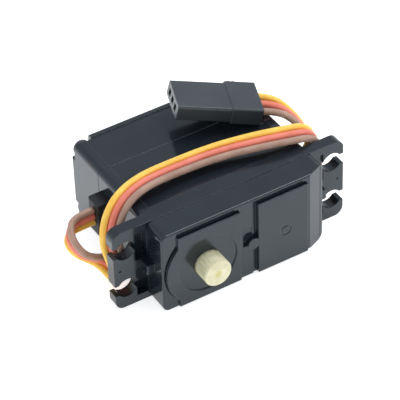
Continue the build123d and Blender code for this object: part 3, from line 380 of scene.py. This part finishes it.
def nylon(name, dark, light, bore=None):
    """Gear plastic, faintly translucent; bore is a point on the axis of its hole, round which
    the plastic gets a painted glow.
    """
    finish = Finish(name)
    cloud = finish.ramp(finish.noise(size=0.0018, detail=4), dark, light)
    edge, rounded = finish.edges(radius=0.00012)
    # edges paled towards the light nylon colour, partly wear and partly a painted highlight
    finish.colour(finish.mix(finish.math("MINIMUM", edge, NYLON_EDGE_WEAR_AND_HIGHLIGHT), cloud, light))
    finish.rough(finish.noise(size=0.0009, detail=3), low=0.42, high=0.58)
    grain = finish.noise(size=0.0002, detail=2)
    finish.bump(grain, depth=0.000012, strength=0.4, under=rounded)
    finish.set(
        Subsurface_Weight=0.35, Subsurface_Radius=(1.0, 0.8, 0.4), Subsurface_Scale=0.0008
    )
    # painted light: round the bore the plastic emits its own colour, a painted glow for light
    # through the thin wall
    if bore:
        inside = finish.math("LESS_THAN", finish.distance_from_axis(bore), BORE_GLOW_RADIUS)
        glow = finish.math("MULTIPLY", inside, BORE_GLOW)
        finish.link(cloud, finish.shader.inputs["Emission Color"])
        finish.link(glow, finish.shader.inputs["Emission Strength"])
    return finish.material


def vinyl(name, dark, light):
    """Soft wire insulation: satin, with faint clouding and handling marks."""
    finish = Finish(name)
    cloud = finish.ramp(finish.noise(size=0.003, detail=4), dark, light, span=(0.28, 0.72))
    smudge = finish.ramp(finish.noise(size=0.0011, detail=2), 0.0, 0.3, span=(0.62, 0.8))
    finish.colour(finish.mix(smudge, cloud, dark))
    finish.rough(finish.noise(size=0.0016, detail=3), low=0.46, high=0.62)
    finish.bump(finish.noise(size=0.0005, detail=3), depth=0.00003, strength=0.35)
    finish.set(
        Subsurface_Weight=0.2, Subsurface_Radius=(1.0, 0.5, 0.3), Subsurface_Scale=0.0006
    )
    return finish.material


def metal(name, dark, light, rough, brushed=(1, 1, 1)):
    """Bare or plated metal with fine tool marks, drawn out along the axes by brushed."""
    finish = Finish(name)
    marks = finish.noise(size=0.0002, detail=3, stretch=brushed)
    finish.colour(finish.ramp(marks, dark, light))
    finish.rough(finish.noise(size=0.001, detail=3), *rough)
    finish.bump(marks, depth=0.000008, strength=0.5)
    finish.set(Metallic=1.0)
    return finish.material


def dull(name, dark, light, size, rough=(0.5, 0.75)):
    """Matt moulded, sintered or glazed surface with speckles of that size."""
    finish = Finish(name)
    speckle = finish.noise(size, detail=4)
    finish.colour(finish.ramp(speckle, dark, light))
    finish.rough(finish.noise(size * 2, detail=3), *rough)
    finish.bump(speckle, depth=0.00001, strength=0.4)
    return finish.material


# The finish of each material slot; the pale edge colours of the plastics are partly wear and
# partly painted highlight
FINISHES = {
    "case_plastic": moulded_plastic(
        "case_black",
        dark=(0.011, 0.015, 0.020),
        light=(0.015, 0.020, 0.026),
        edge_wear_and_highlight=(0.05, 0.058, 0.066),
        rough=(0.10, 0.20),
        marks=SCUFFED,
    ),
    "plug_plastic": moulded_plastic(
        "plug_black",
        dark=(0.029, 0.035, 0.041),
        light=(0.040, 0.047, 0.054),
        edge_wear_and_highlight=(0.30, 0.31, 0.32),
        rough=(0.24, 0.36),
    ),
    "grommet_rubber": moulded_plastic(
        "rubber_black",
        dark=(0.006, 0.006, 0.007),
        light=(0.010, 0.010, 0.011),
        edge_wear_and_highlight=(0.02, 0.02, 0.02),
        rough=(0.5, 0.7),
    ),
    "gear_plastic": nylon(
        "cream_nylon", dark=(0.61, 0.575, 0.36), light=(0.75, 0.725, 0.51), bore=OUTPUT_AXIS
    ),
    "inner_plastic": nylon("white_nylon", dark=(0.62, 0.62, 0.58), light=(0.74, 0.74, 0.70)),
    "wire_brown": vinyl("brown_vinyl", dark=(0.33, 0.195, 0.14), light=(0.46, 0.29, 0.22)),
    "wire_red": vinyl("red_vinyl", dark=(0.73, 0.18, 0.12), light=(0.86, 0.26, 0.185)),
    "wire_orange": vinyl("orange_vinyl", dark=(0.91, 0.52, 0.07), light=(0.98, 0.67, 0.12)),
    "brass": metal(
        "brass", dark=(0.30, 0.22, 0.09), light=(0.46, 0.35, 0.17), rough=(0.35, 0.55)
    ),
    "steel": metal(
        "ground_steel", dark=(0.42, 0.43, 0.44), light=(0.6, 0.61, 0.62), rough=(0.18, 0.34)
    ),
    "screw_steel": metal(
        "blackened_steel", dark=(0.05, 0.05, 0.055), light=(0.14, 0.14, 0.15), rough=(0.28, 0.5)
    ),
    "can_steel": metal(
        "nickel_plate", dark=(0.5, 0.5, 0.5), light=(0.68, 0.68, 0.67), rough=(0.15, 0.3)
    ),
    "laminations": metal(
        "lamination_steel",
        dark=(0.22, 0.23, 0.24),
        light=(0.4, 0.41, 0.42),
        rough=(0.3, 0.5),
        brushed=(6, 0.3, 6),
    ),
    "copper": metal(
        "copper", dark=(0.5, 0.2, 0.1), light=(0.8, 0.38, 0.2), rough=(0.22, 0.42)
    ),
    "contact_metal": metal(
        "tinned_contact", dark=(0.55, 0.5, 0.36), light=(0.78, 0.74, 0.6), rough=(0.2, 0.38)
    ),
    "magnet": dull(
        "ferrite", dark=(0.04, 0.04, 0.045), light=(0.10, 0.10, 0.11), size=0.0003
    ),
    "board": dull(
        "solder_mask",
        dark=(0.01, 0.10, 0.04),
        light=(0.02, 0.18, 0.07),
        size=0.002,
        rough=(0.25, 0.4),
    ),
    "component_black": dull(
        "epoxy", dark=(0.012, 0.012, 0.013), light=(0.03, 0.03, 0.03), size=0.0004
    ),
    "ceramic": dull(
        "ceramic", dark=(0.42, 0.30, 0.16), light=(0.6, 0.46, 0.28), size=0.0006
    ),
}


def finish_frame():
    """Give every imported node, and every wire, the finish of its material slot."""
    for subpart in frame["record"]["subparts"]:
        node = frame["nodes"][subpart["node"]]
        for material_slot in node.material_slots:
            material_slot.material = FINISHES[subpart["material_slot"]]
    for name, wire in wires.items():
        wire.data.materials.append(FINISHES[name])


finish_frame()

# ---------------------------------------------------------------------- studio
FLOOR_SIZE = 6.0
FLOOR_GREYS = (0.80, 0.84)
FLOOR_GLOW = 0.68
KEY_PLACE = (0.30, 0.10, 0.80)
KEY_SIZE = 0.45
KEY_POWER = 4.0

# Colours of the sky, and the sines of the angles above the horizon between which the
# low one turns into the high one
SKY_LOW = (0.98, 1.0, 1.0)
SKY_HIGH = (0.60, 0.64, 0.70)
SKY_HEIGHTS = (0.15, 0.65)


def make_floor():
    """Pale seamless floor that also glows, as paper lit from behind does."""
    half = FLOOR_SIZE / 2
    mesh = bpy.data.meshes.new("floor")
    corners = [(-half, -half, 0), (half, -half, 0), (half, half, 0), (-half, half, 0)]
    mesh.from_pydata(corners, [], [(0, 1, 2, 3)])
    floor = bpy.data.objects.new("floor", mesh)
    bpy.context.collection.objects.link(floor)
    finish = Finish("floor_paper")
    finish.colour(finish.ramp(finish.noise(size=0.05, detail=4), *FLOOR_GREYS))
    finish.set(Roughness=0.9, Emission_Color=(1, 1, 1, 1), Emission_Strength=FLOOR_GLOW)
    mesh.materials.append(finish.material)


def make_sky():
    """Soft tent of light, brighter towards the horizon than overhead."""
    world = bpy.data.worlds.new("world")
    world.use_nodes = True
    nodes, links = world.node_tree.nodes, world.node_tree.links
    place = nodes.new("ShaderNodeTexCoord")
    parts = nodes.new("ShaderNodeSeparateXYZ")
    ramp = nodes.new("ShaderNodeValToRGB")
    low, high = ramp.color_ramp.elements
    low.position, high.position = SKY_HEIGHTS
    low.color, high.color = (*SKY_LOW, 1), (*SKY_HIGH, 1)
    links.new(place.outputs["Generated"], parts.inputs["Vector"])
    links.new(parts.outputs["Z"], ramp.inputs["Fac"])
    links.new(ramp.outputs["Color"], nodes["Background"].inputs["Color"])
    bpy.context.scene.world = world


def make_key():
    """Soft box above and behind, to the right, turned to the middle of the frame."""
    data = bpy.data.lights.new("key", "AREA")
    data.shape = "SQUARE"
    data.size = KEY_SIZE
    data.energy = KEY_POWER
    key = bpy.data.objects.new("key", data)
    bpy.context.collection.objects.link(key)
    key.location = KEY_PLACE
    key.rotation_euler = (-Vector(KEY_PLACE)).to_track_quat("-Z", "Y").to_euler()


make_floor()
make_sky()
make_key()
bpy.context.scene.view_settings.view_transform = "Standard"
